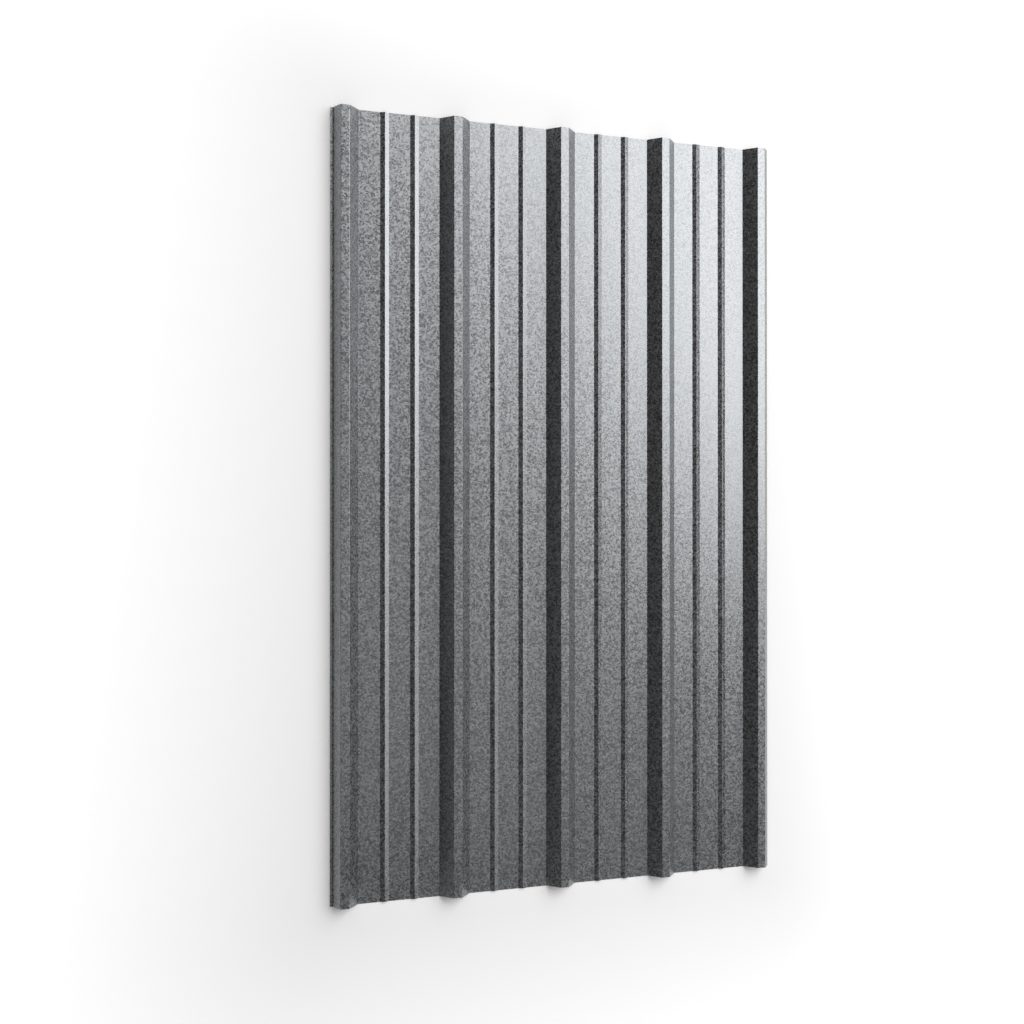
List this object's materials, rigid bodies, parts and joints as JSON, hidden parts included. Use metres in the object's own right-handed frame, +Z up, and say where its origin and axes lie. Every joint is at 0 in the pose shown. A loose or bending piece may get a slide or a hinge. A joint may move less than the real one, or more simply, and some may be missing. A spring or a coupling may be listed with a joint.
{
  "type": "ribbed metal sheet",
  "caption": "Roll-formed steel roofing and cladding sheet with tall trapezoidal ribs, pairs of small stiffening ribs in its pans and lapping side edges.",
  "frame": {"origin": "middle of the sheet on the plane of the pans' undersides", "axes": "+Y along the ribs and the length, +X across the ribs from the underlap edge to the overlap edge, +Z up out of the ribbed face"},
  "size_m": [0.9612, 1.565, 0.0259],
  "materials": {
    "coated_steel": "bare aluminium-zinc coating with a fine spangle, satin"
  },
  "bodies": {
    "root": {"ribbed_sheet": "coated_steel"}
  },
  "joints": []
}
